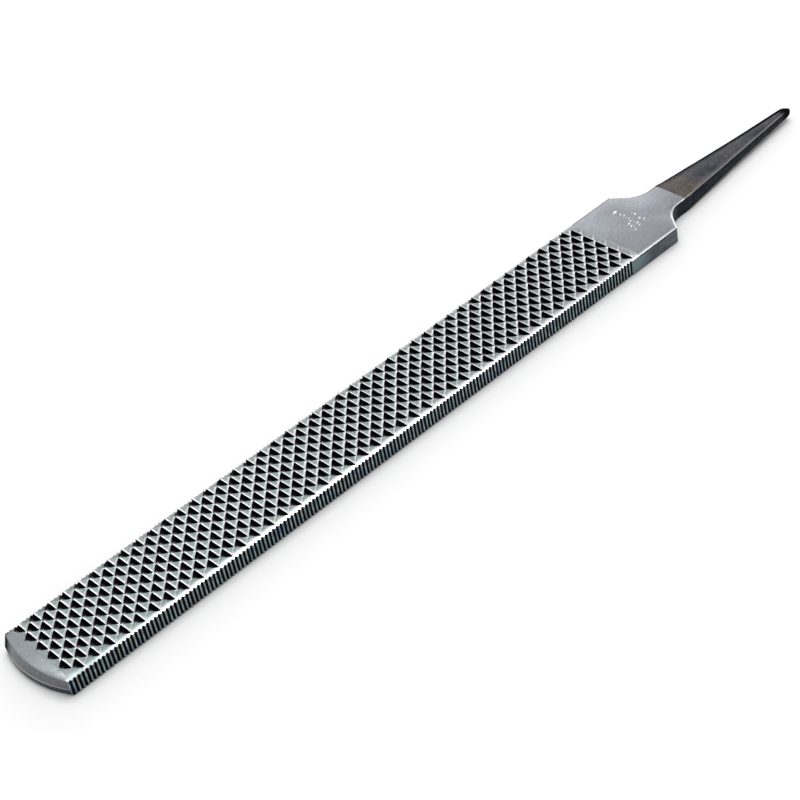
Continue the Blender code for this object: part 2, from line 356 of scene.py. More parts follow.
def triangulate(outline, lines, height):
    """Plan triangulation inside a closed outline, through the lines, raised to the height.

    Returns the points, the triangles and the place of each outline point among the points.
    """
    points = [Vector(p) for p in outline]
    edges = [(i, (i + 1) % len(outline)) for i in range(len(outline))]
    for line in lines:
        start = len(points)
        points += [Vector(p) for p in line]
        edges += [(start + i, start + i + 1) for i in range(len(line) - 1)]
    result = delaunay_2d_cdt(points, edges, [list(range(len(outline)))], 1, 1e-5)
    plan = np.array([tuple(v) for v in result[0]])
    place_of = {source: i for i, found in enumerate(result[3]) for source in found}
    ring = [place_of[i] for i in range(len(outline))]
    return np.c_[plan, height(*plan.T)], [tuple(t) for t in result[2]], ring


def vertex_places(mesh):
    """Vertex positions in mm."""
    flat = np.zeros(3 * len(mesh.vertices))
    mesh.vertices.foreach_get("co", flat)
    return flat.reshape(-1, 3) / MM


def mark(mesh, name, domain, values):
    """Stores one number per vertex or face corner for the materials to read."""
    layer = mesh.attributes.new(name, "FLOAT", domain)
    layer.data.foreach_set("value", np.asarray(values, np.float32))


def at_corners(mesh, values, faces):
    """Vertex values at every face corner, kept only on the chosen faces."""
    corners = np.zeros(len(mesh.loops), int)
    mesh.loops.foreach_get("vertex_index", corners)
    return values[corners] * np.repeat(faces, [p.loop_total for p in mesh.polygons])


def rim_highlight_at(places):
    """Painted highlight of the vertices along the upper rim, weaker on the left, told by how far they lie
    below the flat top.
    """
    x, y, z = places.T
    wear_and_highlight = ramp(TOP - z, RIM_HIGHLIGHT) * ramp(y, RIM_HIGHLIGHT_ALONG) * (np.abs(x) > HALF - RIM_HIGHLIGHT_REACH)
    return np.where(x < 0, RIM_HIGHLIGHT_LEFT, 1.0) * wear_and_highlight


def finish_edges(obj, steel, reach):
    """Gives the edge steel to upright faces at least reach from the middle, and marks the grooves' depth."""
    obj.data.materials.append(steel)
    places = vertex_places(obj.data)
    mark(obj.data, "groove", "POINT", groove_depth(places[:, 1]) / GROOVE_DEPTH)
    for face in obj.data.polygons:
        if abs(face.normal.z) < UPRIGHT and abs(face.center.x) > reach * MM:
            face.material_index = 1


def solid(name, points, faces, sharp=35):
    """A mesh object from points in mm, with outward faces, smooth where it turns gently."""
    mesh = bpy.data.meshes.new(name)
    mesh.from_pydata([tuple(np.asarray(p, float) * MM) for p in points], [], faces)
    bm = bmesh.new()
    bm.from_mesh(mesh)
    bmesh.ops.remove_doubles(bm, verts=bm.verts, dist=1e-8)
    bmesh.ops.recalc_face_normals(bm, faces=bm.faces)
    bm.to_mesh(mesh)
    bm.free()
    mesh.shade_smooth()
    mesh.set_sharp_from_angle(angle=math.radians(sharp))
    obj = bpy.data.objects.new(name, mesh)
    bpy.context.scene.collection.objects.link(obj)
    return obj


def skin_solid(name, points, triangles, ring, floor_z, sharp):
    """A solid between a skin and a flat face at floor_z, closed by vertical walls under the skin's ring."""
    points = [tuple(p) for p in points]
    faces = list(triangles)
    lower = {}
    for i in ring:
        lower[i] = len(points)
        points.append((points[i][0], points[i][1], floor_z))
    for a, b in zip(ring, ring[1:] + ring[:1]):
        faces.append((b, a, lower[a], lower[b]))
    faces.append(tuple(lower[i] for i in reversed(ring)))
    return solid(name, points, faces, sharp)


def grooved_outline(first, last, rim):
    """Plan of the cut length: grooved long edges, and a point on each end where the rim's slope changes."""
    places = [first] + groove_places(first, last) + [last]
    inner = [HALF - distance for distance, _ in reversed(rim[1:])]
    right = [(x, first) for x in inner]
    right += [(HALF - float(groove_depth(y)), y) for y in places]
    right += [(x, last) for x in reversed(inner)]
    return right + [(-x, y) for x, y in reversed(right)]


# ---------------- pieces


def make_rasp_face():
    """Upper layer with the teeth: black in the pits from scale and painted shadow, bright on the crests from
    wear and a painted highlight, and painted highlights on the burrs and the rims.
    """
    teeth = Teeth()

    def height(x, y):
        return TOP + teeth.height_at(x, y) - ramp(HALF - np.abs(x), RIM)

    lines = []
    for line in teeth.lines():
        kept = []
        for p in line + [None]:
            if p is not None and in_outline(*p):
                kept.append(p)
                continue
            if len(kept) > 1:
                lines.append(kept)
            kept = []
    along = np.arange(Y_CUT + RIM_LINE_GAPS[0], Y_HEEL - RIM_LINE_GAPS[1], GROOVE_PITCH / 2)
    for distance, _ in RIM[1:]:
        for side in (-1, 1):
            lines.append([(side * (HALF - distance), y) for y in along])
    skin = triangulate(grooved_outline(Y_CUT, Y_HEEL, RIM), lines, height)
    obj = skin_solid("rasp_face_skin", *skin, Z_UPPER, 15)
    mesh = obj.data
    places = vertex_places(mesh)
    x, y, _ = places.T
    centres = np.array([tuple(p.center)[:2] for p in mesh.polygons]).T / MM
    ups = np.array([p.normal.z for p in mesh.polygons])
    pit = teeth.in_pit(*centres) & (ups > UPWARD)
    close = teeth.near_teeth(*centres) & (ups > UPWARD)
    # pits: black scale and painted shadow
    mark(mesh, "scale_and_shade", "CORNER", at_corners(mesh, teeth.scale_and_shade_at(x, y), pit))
    # crest wear and painted highlights on the teeth, the strip beside them and the rims
    wear_and_highlight = at_corners(mesh, teeth.wear_and_highlight_at(x, y), close)
    land_highlight = ramp(x, LAND_HIGHLIGHT) * ramp(y, RIM_HIGHLIGHT_ALONG)
    wear_and_highlight = np.maximum(wear_and_highlight, at_corners(mesh, land_highlight, ~pit & (ups > UPRIGHT)))
    mark(mesh, "wear_and_highlight", "CORNER", np.maximum(wear_and_highlight, at_corners(mesh, rim_highlight_at(places), ups > UPWARD)))
    return obj


def make_edge(side, name):
    """Strip between the layers along one long edge, grooved on its outer side."""
    places = [Y_CUT] + groove_places(Y_CUT, Y_HEEL) + [Y_HEEL]
    outline = [(side * (HALF - float(groove_depth(y))), y) for y in places]
    outline += [(side * EDGE_INNER, Y_HEEL), (side * EDGE_INNER, Y_CUT)]
    count = len(outline)
    points = [(x, y, z) for z in (Z_LOWER, Z_UPPER) for x, y in outline]
    faces = [(i, (i + 1) % count, count + (i + 1) % count, count + i) for i in range(count)]
    faces += [tuple(range(count)), tuple(range(count, 2 * count))]
    return solid(name, points, faces)


def loft(rings, left_out=None):
    """Points and faces of a solid through rings of equal count, with the strip after one place left out."""
    count = len(rings[0])
    points = [p for ring in rings for p in ring]
    faces = [tuple(range(count)), tuple(range(len(points) - count, len(points)))]
    for r in range(len(rings) - 1):
        for i in range(count):
            if i == left_out:
                continue
            j = (i + 1) % count
            faces.append((r * count + i, r * count + j, (r + 1) * count + j, (r + 1) * count + i))
    return points, faces


def shoulder_chain():
    """Right-hand plan of the heel: straight edge, shoulder slope, concave fillet, tang root."""
    y_shoulder = corner("heel", 1).y - ROOT_REACH
    y_slope = y_shoulder + SHOULDER_REACH
    slope = math.atan2(HALF - SHOULDER_INNER, SHOULDER_REACH)
    radius = (SHOULDER_INNER - ROOT_HALF) / (1 - math.cos(slope))
    chain = [(HALF, y) for y in np.linspace(Y_HEEL, y_shoulder, 12)]
    for angle in np.linspace(slope, 0, FILLET_STEPS + 1):
        x = ROOT_HALF + radius * (1 - math.cos(angle))
        chain.append((x, y_slope + radius * (math.sin(slope) - math.sin(angle))))
    chain += [(ROOT_HALF, y) for y in np.linspace(chain[-1][1], Y_ROOT, 4)[1:]]
    return chain


def inset(chain, distance):
    """The chain moved towards the middle of the bar, its ends kept at their y."""
    moved = []
    for i, (x, y) in enumerate(chain):
        if i in (0, len(chain) - 1):
            moved.append((x - distance, y))
            continue
        before = Vector((x - chain[i - 1][0], y - chain[i - 1][1])).normalized()
        after = Vector((chain[i + 1][0] - x, chain[i + 1][1] - y)).normalized()
        normal = Vector((-before.y - after.y, before.x + after.x))
        mitre = normal * (distance / (1 + before.dot(after)))
        moved.append((x + mitre.x, y + mitre.y))
    return moved


def mark_dents():
    """Plain stamped dents on the heel as (x, y, half length, half width), in short rows."""
    x, ahead, half, width = MARK_SPOT
    yield x, Y_HEEL + ahead, half, width
    for x, ahead, count in MARK_ROWS:
        y = Y_HEEL + ahead
        for _ in range(count):
            half = rng.uniform(*MARK_HALF)
            yield x + half, y + rng.uniform(-MARK_STRAY, MARK_STRAY), half, MARK_WIDTH
            step = 2 * half + MARK_GAP
            x += step
            y += MARK_SLOPE * step


def make_heel():
    """Bare end of the bar: rim, shoulders and the start of the tang, with rows of stamped dents on top."""
    chain = shoulder_chain()
    rows = [(inset(chain, d), drop) for d, drop in reversed(LOWER_RIM)]
    rows += [(inset(chain, d), TOP - drop) for d, drop in RIM]
    rings = []
    for i in range(len(chain)):
        right = [(row[i][0], row[i][1], z) for row, z in rows]
        rings.append(right + [(-x, y, z) for x, y, z in reversed(right)])
    inner = len(rows) - 1
    points, faces = loft(rings, inner)

    dents = list(mark_dents())
    lines = []
    for x, y, half, width in dents:
        for reach in (1.0, MARK_FLAT):
            a, b = reach * half, reach * width
            lines.append([(x + a * math.cos(turn), y + b * math.sin(turn)) for turn in MARK_TURNS])

    def height(x, y):
        z = np.full(x.shape, TOP)
        for dx, dy, half, width in dents:
            out = np.hypot((x - dx) / half, (y - dy) / width)
            z -= MARK_DEPTH * np.clip((1 - out) / (1 - MARK_FLAT), 0, 1)
        return z

    around = [r * len(rings[0]) + inner for r in range(len(rings))]
    around += [r * len(rings[0]) + inner + 1 for r in reversed(range(len(rings)))]
    top, triangles, ring = triangulate([points[i][:2] for i in around], lines, height)
    place = {i: around[k] for k, i in enumerate(ring)}
    for i in range(len(top)):
        if i not in place:
            place[i] = len(points)
            points.append(tuple(top[i]))
    faces += [tuple(place[i] for i in t) for t in triangles]
    obj = solid("heel_body", points, faces, 12)
    x, y, z = vertex_places(obj.data).T
    inside = (np.abs(x) < SHOULDER_INNER) & (y < Y_ROOT - ROOT_REACH)
    stamped = inside & (z > TOP / 2) & (z < TOP - MARK_LEAST)
    # painted highlight on the rims and the stamped dents, strongest on the left ones
    mark(obj.data, "wear_and_highlight", "POINT", np.maximum(rim_highlight_at(np.c_[x, y, z]), ramp(x, MARK_HIGHLIGHT) * stamped))
    return obj


def tang_section(share):
    """Right and left halves of the tang's section at a share of its length, the left with a bevel on top."""
    blend = min(1.0, share / ROOT_SHARE)
    bevel = LEFT_BEVEL[0] + LEFT_BEVEL[1] * share
    left = RIGHT_SECTION[:2] + ((0.0, 0.7 * bevel), (0.3 * bevel, 0.32 * bevel), (1.25 * bevel, 0.0))
    return tuple(
        [(a[0] + (b[0] - a[0]) * blend, a[1] + (b[1] - a[1]) * blend) for a, b in zip(ROOT_SECTION, side)]
        for side in (RIGHT_SECTION, left)
    )


def make_tang():
    """Forged taper through the stations, its faces slightly uneven."""
    length = Y_END - Y_ROOT
    wobble = rng.standard_normal((len(TANG_STATIONS), 4)) * TANG_WOBBLE
    distances = [s[0] for s in TANG_STATIONS]
    rings = []
    for k, distance in enumerate(np.linspace(0, length, TANG_RINGS)):
        along = distance * distances[-1] / length
        half = np.interp(along, distances, [s[1] for s in TANG_STATIONS])
        thick = np.interp(along, distances, [s[2] for s in TANG_STATIONS])
        middle = TANG_LEAN * distance / length
        right, left = tang_section(distance / length)
        ease = min(1.0, distance / TANG_WOBBLE_START)
        right_wave, left_wave, rise = (ease * np.interp(along, distances, wobble[:, c]) for c in range(3))
        ring = []
        for i, (a, d) in enumerate(right):
            z = -thick + d if i < 2 else thick - d
            ring.append((middle + half - a + right_wave, Y_ROOT + distance, TOP / 2 + z + rise))
        for i, (a, d) in reversed(list(enumerate(left))):
            z = -thick + d if i < 2 else thick - d
            ring.append((middle - half + a + left_wave, Y_ROOT + distance, TOP / 2 + z + rise))
        rings.append(ring)
    return solid("tang_forged", *loft(rings))


def point_ring(height, gap=0.0):
    """Plan of the point at a height, its end face moved back by gap, from the left round to the right."""
    heights, *measures = zip(*POINT_LEVELS)
    radius, left, back = (np.interp(height, heights, m) for m in measures)
    round_off = ramp(height, TIP_ROUND)
    centre = (-left, Y_APEX + back + radius)
    reach = radius - gap
    inside = HALF - round_off

    def end_y(x):
        return centre[1] - math.sqrt(reach**2 - (x - centre[0]) ** 2)

    ring = []
    for side in (-1, 1):
        # the corner is a quarter of an ellipse between the end face and the long edge
        y_in = end_y(side * inside)
        turn = [
            (side * (inside + round_off * math.sin(a)), y_in + round_off * (1 - math.cos(a)))
            for a in np.linspace(0, math.pi / 2, 9)
        ]
        edge = [(side * HALF, y) for y in np.linspace(turn[-1][1], Y_CUT, 14)[1:]]
        ring.append(turn + edge)
    front = [(x, end_y(x)) for x in np.linspace(-inside, inside, 50)[1:-1]]
    ring = ring[0][::-1] + front + ring[1]
    return [(math.copysign(min(abs(x), HALF - float(groove_depth(y))), x), y) for x, y in ring]


def make_point():
    """Ground end of the bar: a flat top, a rounded edge all round, and an end face in two bands."""

    def height(x, y):
        return TOP - ramp(HALF - np.abs(x), RIM)

    outline = point_ring(TOP, TIP_EDGE)
    inner = [HALF - distance for distance, _ in RIM[1:]]
    rear = [(x, Y_CUT) for x in inner] + [(-x, Y_CUT) for x in reversed(inner)]
    lines = []
    for x in inner:
        for side in (-1, 1):
            near = [y for px, y in outline if abs(px - side * x) < TIP_LINE_REACH]
            start = max(y for y in near if y < Y_CUT - TIP_LINE_REAR) + TIP_LINE_GAP
            lines.append([(side * x, start), (side * x, Y_CUT)])
    points, faces, ring = triangulate(outline + rear, lines, height)
    points = [tuple(p) for p in points]
    top, back = ring[: len(outline)], ring[len(outline) :]
    rings = [top]
    for z in POINT_HEIGHTS:
        low = z == 0.0
        rings.append([])
        for i, (x, y) in enumerate(point_ring(z, TIP_EDGE if low else 0.0)):
            if low:
                x = math.copysign(min(abs(x), HALF - LOWER_RIM[1][0]), x)
            rings[-1].append(len(points))
            points.append((x, y, min(z, points[top[i]][2] - TIP_STEP)))
    for upper, lower in zip(rings, rings[1:]):
        for a, b, c, d in zip(upper, upper[1:], lower[1:], lower):
            faces.append((a, b, c, d))
    left_side, right_side = [r[0] for r in rings], [r[-1] for r in rings]
    faces.append(tuple(right_side + left_side[::-1] + back[::-1]))
    faces.append(tuple(rings[-1]))
    obj = solid("point_end", points, faces, 20)
    mark(obj.data, "wear_and_highlight", "POINT", rim_highlight_at(vertex_places(obj.data)))
    return obj


def make_file_face():
    """Underside: two crossing sets of file cuts leave rows of small pointed teeth, their tips on z = 0."""

    def cut(x, y, turn, pitch, depth):
        phase = (x * math.sin(turn) + y * math.cos(turn)) / pitch % 1.0
        return depth * np.interp(phase, (0.0, FILE_VALLEY, 1.0), (0.0, 1.0, 0.0))

    def height(x, y):
        depth = np.maximum(cut(x, y, *OVERCUT), cut(x, y, *UPCUT))
        near_end = np.clip(np.minimum(y - Y_CUT, Y_HEEL - y) / FILE_FADE, 0, 1)
        near_side = np.clip((HALF - GROOVE_DEPTH - np.abs(x)) / FILE_FADE, 0, 1)
        return np.maximum(ramp(HALF - np.abs(x), LOWER_RIM), depth * near_end * near_side)

    lines = list(file_lines(OVERCUT, UPCUT)) + list(file_lines(UPCUT, OVERCUT))
    skin = triangulate(grooved_outline(Y_CUT, Y_HEEL, LOWER_RIM), lines, height)
    return skin_solid("file_face_skin", *skin, Z_LOWER, 20)


def file_lines(own, other):
    """Crests and valleys of one set of file cuts, with a point wherever those of the other set cross."""
    turn, pitch, _ = own
    cross, cross_pitch, _ = other
    limit = HALF - GROOVE_DEPTH - FILE_SIDE_GAP
    low, high = Y_CUT + FILE_END_GAP, Y_HEEL - FILE_END_GAP
    slack = limit * abs(math.sin(turn))
    step_low = math.floor((low * math.cos(turn) - slack) / pitch)
    step_high = math.ceil((high * math.cos(turn) + slack) / pitch)
    others = [
        (step + share) * cross_pitch
        for step in range(math.floor((low - HALF) / cross_pitch), math.ceil((high + HALF) / cross_pitch))
        for share in (0.0, FILE_VALLEY)
    ]
    # Where x sin(turn) + y cos(turn) = level crosses x sin(cross) + y cos(cross) = value
    det = math.sin(turn) * math.cos(cross) - math.cos(turn) * math.sin(cross)
    for step in range(step_low, step_high + 1):
        for share in (0.0, FILE_VALLEY):
            level = (step + share) * pitch
            line = []
            for value in others:
                x = (level * math.cos(cross) - value * math.cos(turn)) / det
                y = (value * math.sin(turn) - level * math.sin(cross)) / det
                if abs(x) < limit and low < y < high:
                    line.append((x, y))
            if len(line) > 1:
                yield line


# ---------------- camera, floor and light


def aim(obj, target, roll=0.0):
    """Points a camera or lamp at the target."""
    direction = Vector(target) - obj.location
    obj.rotation_mode = "QUATERNION"
    obj.rotation_quaternion = direction.to_track_quat("-Z", "Y") @ Quaternion((0, 0, 1), roll)


def add_camera(target, azimuth, elevation, roll, distance, lens):
    """Camera that looks at the target from an azimuth and elevation in degrees, rolled about its axis."""
    azimuth, elevation, roll = (math.radians(a) for a in (azimuth, elevation, roll))
    level = math.cos(elevation)
    back = Vector((math.sin(azimuth) * level, -math.cos(azimuth) * level, math.sin(elevation)))
    camera = bpy.data.objects.new("camera", bpy.data.cameras.new("camera"))
    camera.data.sensor_width = 36
    camera.data.lens = lens
    camera.data.clip_start, camera.data.clip_end = 0.01, 50
    camera.location = Vector(target) + back * distance
    aim(camera, target, roll)
    bpy.context.scene.collection.objects.link(camera)
    bpy.context.scene.camera = camera


def add_area(name, direction, distance, size, power):
    """Soft white lamp out along a direction, aimed at the origin and unseen by the camera."""
    lamp = bpy.data.lights.new(name, "AREA")
    lamp.shape = "RECTANGLE"
    lamp.size, lamp.size_y = size
    lamp.energy = power
    obj = bpy.data.objects.new(name, lamp)
    obj.location = Vector(direction).normalized() * distance
    aim(obj, (0, 0, 0))
    obj.visible_camera = False
    bpy.context.scene.collection.objects.link(obj)


def add_floor(reach, below):
    """Plain pale floor, just below the rasp."""
    mesh = bpy.data.meshes.new("floor")
    corners = [(-reach, -reach, 0), (reach, -reach, 0), (reach, reach, 0), (-reach, reach, 0)]
    mesh.from_pydata(corners, [], [(0, 1, 2, 3)])
    floor = bpy.data.objects.new("floor", mesh)
    floor.location.z = -below
    material = bpy.data.materials.new("floor_white")
    material.use_nodes = True
    shader = material.node_tree.nodes["Principled BSDF"]
    shader.inputs["Base Color"].default_value = (0.85, 0.85, 0.85, 1)
    shader.inputs["Roughness"].default_value = 0.9
    mesh.materials.append(material)
    bpy.context.scene.collection.objects.link(floor)


def set_world(above, horizon):
    """Soft white surroundings, brightest from the horizon down."""
    world = bpy.data.worlds.new("studio")
    bpy.context.scene.world = world
    world.use_nodes = True
    tree = world.node_tree
    direction = tree.nodes.new("ShaderNodeTexCoord")
    parts = tree.nodes.new("ShaderNodeSeparateXYZ")
    level = tree.nodes.new("ShaderNodeMapRange")
    tree.links.new(direction.outputs["Generated"], parts.inputs[0])
    tree.links.new(parts.outputs[2], level.inputs[0])
    for index, value in ((1, 0.03), (2, 0.32), (3, horizon), (4, above)):
        level.inputs[index].default_value = value
    background = tree.nodes["Background"]
    background.inputs["Color"].default_value = (1, 1, 1, 1)
    tree.links.new(level.outputs[0], background.inputs["Strength"])


# ---------------- materials


class Surface:
    """A Principled material and short ways to add nodes to it. Lengths are in mm."""

    def __init__(self, name, metallic=1.0):
        self.material = bpy.data.materials.new(name)
        self.material.use_nodes = True
        self.tree = self.material.node_tree
        self.shader = self.tree.nodes["Principled BSDF"]
        self.shader.inputs["Metallic"].default_value = metallic
        self.black = None
        self.place = self.add("ShaderNodeTexCoord").outputs["Object"]
        self.parts = self.add("ShaderNodeSeparateXYZ")
        self.put(self.place, self.parts.inputs[0])

    def add(self, kind, **settings):
        node = self.tree.nodes.new(kind)
        for key, value in settings.items():
            setattr(node, key, value)
        return node

    def put(self, value, socket):
        if isinstance(value, bpy.types.NodeSocket):
            self.tree.links.new(value, socket)
        elif isinstance(value, tuple) and socket.type == "RGBA":
            socket.default_value = (*value, 1)
        else:
            socket.default_value = value

    def noise(self, size, detail=3, offset=0.0, roughness=0.5):
        """Noise from 0 to 1 with features of the given (x, y, z) size."""
        mapping = self.add("ShaderNodeMapping")
        self.put(self.place, mapping.inputs["Vector"])
        mapping.inputs["Scale"].default_value = tuple(1 / (MM * s) for s in size)
        mapping.inputs["Location"].default_value = (offset, offset, offset)
        noise = self.add("ShaderNodeTexNoise")
        self.put(mapping.outputs[0], noise.inputs["Vector"])
        noise.inputs["Scale"].default_value = 1
        noise.inputs["Detail"].default_value = detail
        noise.inputs["Roughness"].default_value = roughness
        return noise.outputs["Fac"]

    def span(self, value, low, high, to_low=0.0, to_high=1.0):
        """The value, clamped between low and high and stretched to the new range. Low may be the larger."""
        node = self.add("ShaderNodeMapRange")
        for item, index in ((value, 0), (low, 1), (high, 2), (to_low, 3), (to_high, 4)):
            self.put(item, node.inputs[index])
        return node.outputs[0]

    def both(self, first, second, operation="MULTIPLY"):
        """1 where both shares are 1."""
        node = self.add("ShaderNodeMath", operation=operation)
        self.put(first, node.inputs[0])
        self.put(second, node.inputs[1])
        return node.outputs[0]

    def either(self, first, second):
        """The larger of two shares."""
        return self.both(first, second, "MAXIMUM")

    def mix(self, share, first, second):
        """The first colour, turning into the second as the share goes from 0 to 1."""
        node = self.add("ShaderNodeMix", data_type="RGBA")
        self.put(share, node.inputs[0])
        self.put(first, node.inputs[6])
        self.put(second, node.inputs[7])
        return node.outputs[2]

    def attribute(self, name):
        return self.add("ShaderNodeAttribute", attribute_name=name).outputs["Fac"]

    def along(self, axis, from_mm, to_mm):
        """0 at from_mm and beyond it, 1 at to_mm and beyond it, along an axis."""
        return self.span(self.parts.outputs[axis], from_mm * MM, to_mm * MM)

    def facing(self, axis, low, high):
        """0 where the normal's share of an axis is low, 1 where it is high."""
        parts = self.add("ShaderNodeSeparateXYZ")
        self.put(self.add("ShaderNodeNewGeometry").outputs["Normal"], parts.inputs[0])
        return self.span(parts.outputs[axis], low, high)

    def upright(self):
        """1 on upright faces, 0 on level ones."""
        return self.both(self.facing("Z", 0.75, 0.45), self.facing("Z", -0.75, -0.45))

    def bump(self, height, depth, after=None):
        node = self.add("ShaderNodeBump")
        node.inputs["Strength"].default_value = 1
        node.inputs["Distance"].default_value = depth * MM
        self.put(height, node.inputs["Height"])
        if after is not None:
            self.put(after, node.inputs["Normal"])
        return node.outputs[0]

    def blacken(self, share):
        """Turns the steel dull black where the share is 1, mostly as painted shade."""
        self.black = share
        metallic = self.shader.inputs["Metallic"]
        self.put(self.span(share, 0, 1, metallic.default_value, 0), metallic)
        self.shader.inputs["Specular IOR Level"].default_value = 0

    def finish(self, colour, roughness, normal=None):
        if self.black is not None:
            # the dull black, mostly painted shade
            cloud = self.span(self.noise((1.3, 1.8, 1.3), 3, 4.9), 0.4, 0.65)
            dull_black = self.mix(cloud, (0.002, 0.002, 0.003), (0.012, 0.012, 0.015))
            colour = self.mix(self.black, colour, dull_black)
        self.put(colour, self.shader.inputs["Base Color"])
        self.put(roughness, self.shader.inputs["Roughness"])
        if normal is not None:
            self.put(normal, self.shader.inputs["Normal"])
        return self.material


def steel_base(surface, light, dark):
    """Colour, roughness and normal of ground steel: clouds, fine grain and lengthwise grinding lines."""
    cloud = surface.noise((9, 14, 9), 3)
    grain = surface.noise((0.6, 0.95, 0.6), 4, 3.1, 0.65)
    lines = surface.noise((0.35, 26, 0.35), 2, 7.7, 0.6)
    colour = surface.mix(surface.span(grain, 0.36, 0.66), dark, light)
    colour = surface.mix(surface.span(cloud, 0.42, 0.7, 0.0, 0.55), colour, dark)
    colour = surface.mix(surface.span(lines, 0.5, 0.75, 0.0, 0.5), colour, dark)
    roughness = surface.span(cloud, 0.3, 0.7, 0.25, 0.36)
    normal = surface.bump(lines, 0.008)
    normal = surface.bump(grain, 0.012, normal)
    return colour, roughness, normal


EDGE_TEAL = (0.15, 0.20, 0.215)  # uncut edge right behind the last groove

# Light and dark colours of the ground steel in each zone
POINT_STEEL = ((0.415, 0.45, 0.47), (0.29, 0.325, 0.34))
RASP_STEEL = ((0.325, 0.39, 0.385), (0.205, 0.26, 0.25))
HEEL_STEEL = ((0.325, 0.345, 0.375), (0.215, 0.23, 0.25))


def rim_shade_near_point(surface, colour):
    """Painted shade on the right rim near the point."""
    rim = surface.along("X", HALF - 1.5, HALF - 0.4)
    near = surface.along("Y", Y_APEX + 110, Y_APEX + 20)
    return surface.mix(surface.both(rim, near), colour, (0.19, 0.20, 0.21))


def ground_steel():
    """Ground steel of the heel and the point, with painted shade on the point's end face, darkest below its
    step.
    """
    surface = Surface("ground_steel")
    pale = surface.along("Y", Y_CUT + 1, Y_CUT - 1)
    light = surface.mix(pale, HEEL_STEEL[0], POINT_STEEL[0])
    dark = surface.mix(pale, HEEL_STEEL[1], POINT_STEEL[1])
    colour, roughness, normal = steel_base(surface, light, dark)
    # painted shade on the left rim, and on the right rim near the point
    left_rim_shade = surface.both(surface.facing("X", -0.14, -0.23), surface.facing("Z", 0.3, 0.5))
    colour = rim_shade_near_point(surface, surface.mix(left_rim_shade, colour, (0.13, 0.10, 0.085)))
    # painted highlight on the marked rims and dents
    colour = surface.mix(surface.span(surface.attribute("wear_and_highlight"), 0.1, 0.6), colour, (0.96, 0.96, 0.97))
    # painted shade on the upright end face, darkest below its step, with a painted highlight along the step
    end = surface.mix(surface.along("Z", 2.9, 3.1), (0.055, 0.065, 0.09), (0.15, 0.155, 0.16))
    patch = surface.noise((1.2, 1.2, 0.8), 3, 2.2)
    end = surface.mix(surface.span(patch, 0.4, 0.7, 0.0, 0.5), end, (0.06, 0.065, 0.08))
    step = surface.both(surface.along("Z", 2.75, 2.95), surface.along("Z", 3.4, 3.2))
    end = surface.mix(step, end, (0.42, 0.43, 0.45))
    colour = surface.mix(surface.upright(), colour, end)
    corner_shade = surface.both(surface.upright(), surface.along("X", -12, -18))
    low_shade = surface.both(surface.along("Z", 1.1, 0.5), surface.facing("Z", -0.97, -0.9))
    surface.blacken(surface.either(corner_shade, low_shade))
    return surface.finish(colour, roughness, normal)


def rasp_steel():
    """Steel of the toothed face: dark in the pits from scale and painted shadow, bright from wear and
    painted highlights, its backs given painted shade towards the heel.
    """
    surface = Surface("rasp_steel")
    shades = []
    for point, rasp, heel in zip(POINT_STEEL, RASP_STEEL, HEEL_STEEL):
        shade = surface.mix(surface.along("Y", Y_CUT, Y_CUT + 6), point, rasp)
        shades.append(surface.mix(surface.along("Y", Y_HEEL - 140, Y_HEEL), shade, heel))
    colour, roughness, normal = steel_base(surface, *shades)
    # painted shade along the left rim
    colour = surface.mix(surface.along("X", 2.2 - HALF, 0.7 - HALF), colour, (0.24, 0.225, 0.205))
    colour = rim_shade_near_point(surface, colour)
    # painted shade on the tooth backs towards the heel
    far = surface.along("Y", Y_APEX + 50, Y_APEX + 250)
    back_shade = surface.both(surface.facing("Y", 0.03, 0.12), far)
    colour = surface.mix(surface.span(back_shade, 0, 1, 0, 0.7), colour, (0.10, 0.12, 0.12))
    wear_and_highlight, scale_and_shade = surface.attribute("wear_and_highlight"), surface.attribute("scale_and_shade")
    # crest wear and painted highlights where marked
    colour = surface.mix(surface.span(wear_and_highlight, 0.05, 0.5), colour, (0.98, 0.97, 0.99))
    # black scale and painted shadow in the pits, paler up the right of the floor
    stain = surface.noise((1.4, 1.1, 1.0), 3, 5.2)
    scale_and_shadow_black = surface.mix(surface.span(stain, 0.42, 0.6), (0.004, 0.005, 0.010), (0.012, 0.007, 0.009))
    pale = surface.mix(surface.span(stain, 0.35, 0.7), (0.24, 0.30, 0.25), (0.36, 0.41, 0.37))
    inner = surface.mix(surface.span(scale_and_shade, 0.62, 0.95), pale, scale_and_shadow_black)
    colour = surface.mix(surface.span(scale_and_shade, 0.02, 0.4), colour, inner)
    roughness = surface.span(scale_and_shade, 0.2, 1.0, roughness, 0.6)
    return surface.finish(colour, roughness, normal)


